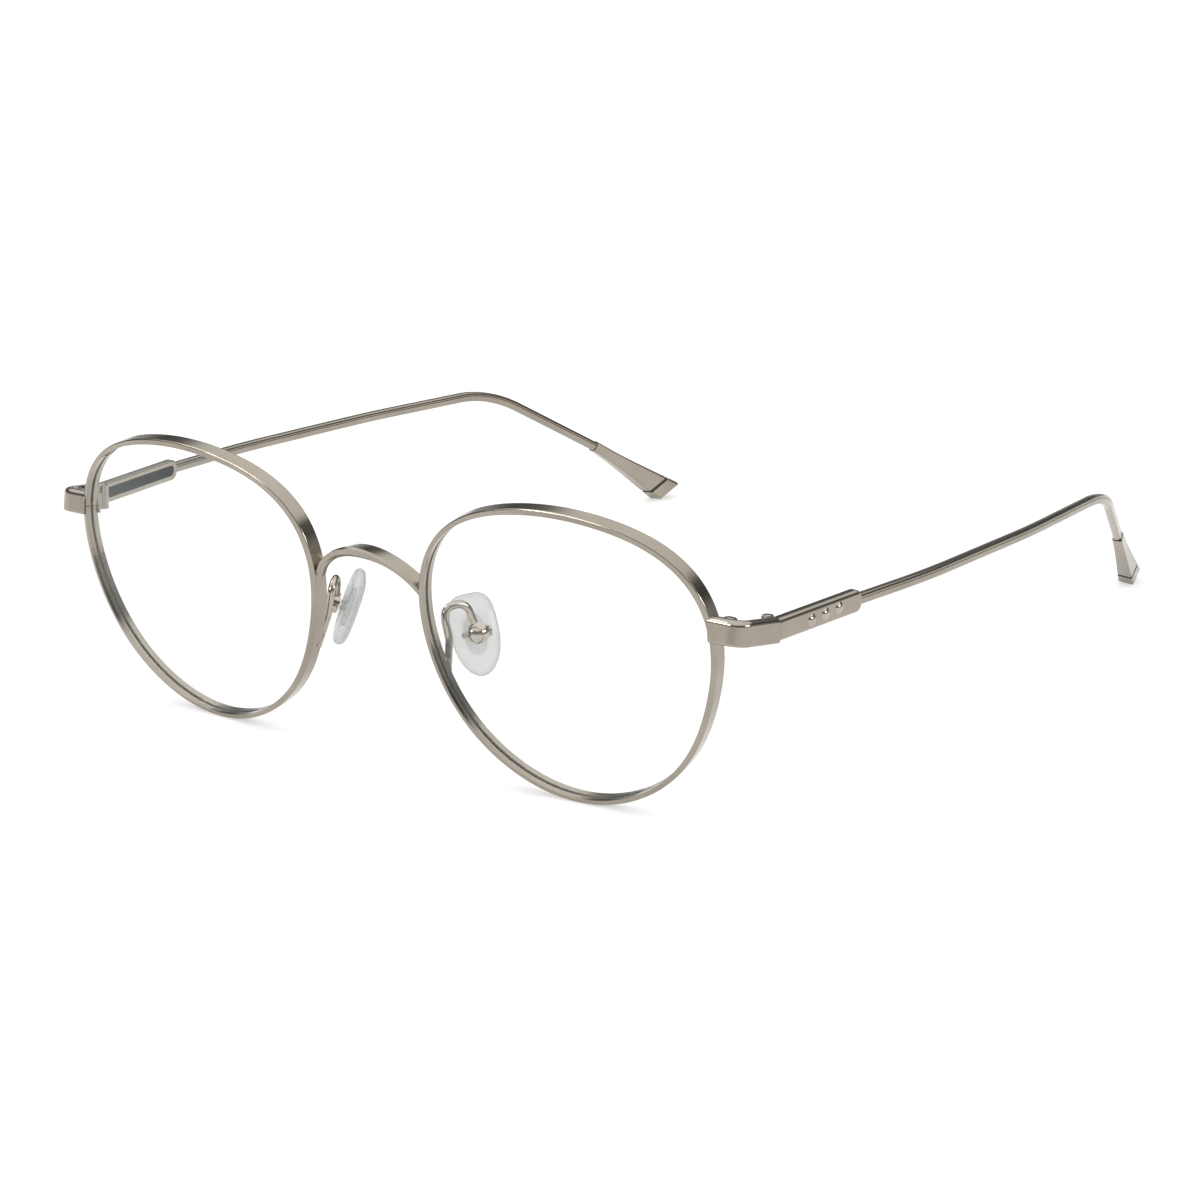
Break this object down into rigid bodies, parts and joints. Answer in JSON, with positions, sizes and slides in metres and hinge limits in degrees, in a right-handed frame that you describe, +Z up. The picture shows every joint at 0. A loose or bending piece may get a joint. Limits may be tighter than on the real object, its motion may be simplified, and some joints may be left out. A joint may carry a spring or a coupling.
{
  "type": "round wire eyeglasses",
  "caption": "Round metal eyeglasses with clear lenses, a saddle bridge, folding temples with flared tips, and rocking silicone nose pads.",
  "frame": {"origin": "middle of the footprint, on the surface that the rims and temple tips rest on", "axes": "+X to the wearer's left, +Y back along the temples, +Z up"},
  "size_m": [0.133, 0.1577, 0.0456],
  "materials": {
    "satin_metal": "warm satin nickel with polished edges",
    "polished_metal": "polished nickel",
    "screw_steel": "turned steel",
    "lens": "clear uncoated lens",
    "silicone": "clear soft silicone",
    "pad_insert": "clear stiff plastic",
    "dark_enamel": "dark enamel",
    "black_resin": "black resin"
  },
  "bodies": {
    "front": {"bridge": "satin_metal", "rim_left": "satin_metal", "lens_left": "lens", "endpiece_left": "satin_metal", "rim_lock_upper_left": "satin_metal", "rim_lock_lower_left": "satin_metal", "rim_screw_left": "screw_steel", "front_hinge_left": "satin_metal", "hinge_screw_left": "screw_steel", "pad_arm_left": "polished_metal", "pad_box_left": "polished_metal", "pad_screw_left": "screw_steel", "rim_right": "satin_metal", "lens_right": "lens", "endpiece_right": "satin_metal", "rim_lock_upper_right": "satin_metal", "rim_lock_lower_right": "satin_metal", "rim_screw_right": "screw_steel", "front_hinge_right": "satin_metal", "hinge_screw_right": "screw_steel", "pad_arm_right": "polished_metal", "pad_box_right": "polished_metal", "pad_screw_right": "screw_steel"},
    "temple_left": {"temple_hinge_left": "satin_metal", "temple_plate_left": "satin_metal", "temple_inlay_left": "dark_enamel", "temple_rivets_left": "polished_metal", "temple_wire_left": "satin_metal", "temple_paddle_left": "satin_metal", "tip_gasket_left": "black_resin", "tip_cap_left": "satin_metal"},
    "temple_right": {"temple_hinge_right": "satin_metal", "temple_plate_right": "satin_metal", "temple_inlay_right": "dark_enamel", "temple_rivets_right": "polished_metal", "temple_wire_right": "satin_metal", "temple_paddle_right": "satin_metal", "tip_gasket_right": "black_resin", "tip_cap_right": "satin_metal"},
    "pad_left": {"nose_pad_left": "silicone", "pad_core_left": "pad_insert"},
    "pad_right": {"nose_pad_right": "silicone", "pad_core_right": "pad_insert"}
  },
  "joints": [
    {"name": "temple_fold_left", "type": "hinge", "parent": "front", "child": "temple_left", "pos_m": [0.062, -0.0651, 0.02973], "axis": [0, 0.0393, 0.9992], "range_deg": [0, 88]},
    {"name": "temple_fold_right", "type": "hinge", "parent": "front", "child": "temple_right", "pos_m": [-0.062, -0.0651, 0.02973], "axis": [0, -0.0393, -0.9992], "range_deg": [0, 81]},
    {"name": "pad_tilt_left", "type": "hinge", "parent": "front", "child": "pad_left", "pos_m": [0.0135, -0.0672, 0.02113], "axis": [0.6292, 0.766, 0.1316], "range_deg": [-10, 10]},
    {"name": "pad_tilt_right", "type": "hinge", "parent": "front", "child": "pad_right", "pos_m": [-0.0135, -0.0672, 0.02113], "axis": [0.6292, -0.766, -0.1316], "range_deg": [-10, 10]}
  ]
}
